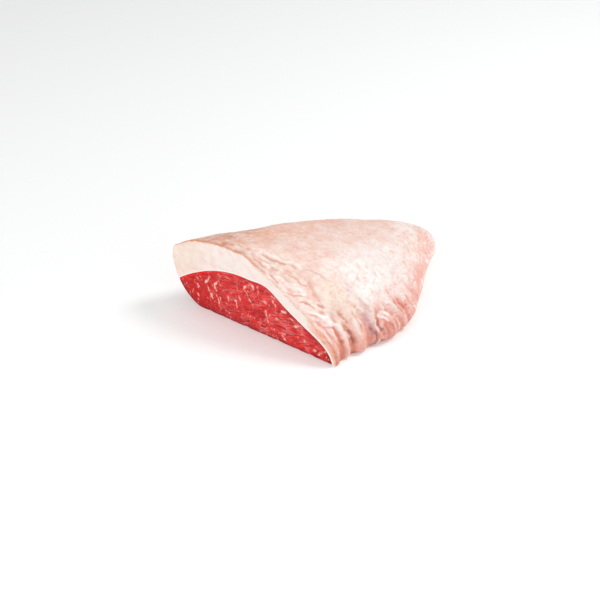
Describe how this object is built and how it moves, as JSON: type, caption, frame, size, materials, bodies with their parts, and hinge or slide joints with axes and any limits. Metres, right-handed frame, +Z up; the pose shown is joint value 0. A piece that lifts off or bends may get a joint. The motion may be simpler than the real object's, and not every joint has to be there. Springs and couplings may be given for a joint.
{
  "type": "raw picanha",
  "caption": "Raw beef rump cap: a flat triangular muscle under a thick layer of fat, cut straight across its wide end and lying lean side down.",
  "frame": {"origin": "middle of the underside, on the surface that the meat rests on", "axes": "+Z up, +Y from the flat cut face at the wide end to the rounded point of the triangle, +X to the thin edge of the cut face"},
  "size_m": [0.1938, 0.2038, 0.0746],
  "materials": {
    "lean": "wet satin",
    "fat": "moist satin"
  },
  "bodies": {
    "root": {"lean_muscle": "lean", "fat_cap": "fat"}
  },
  "joints": []
}
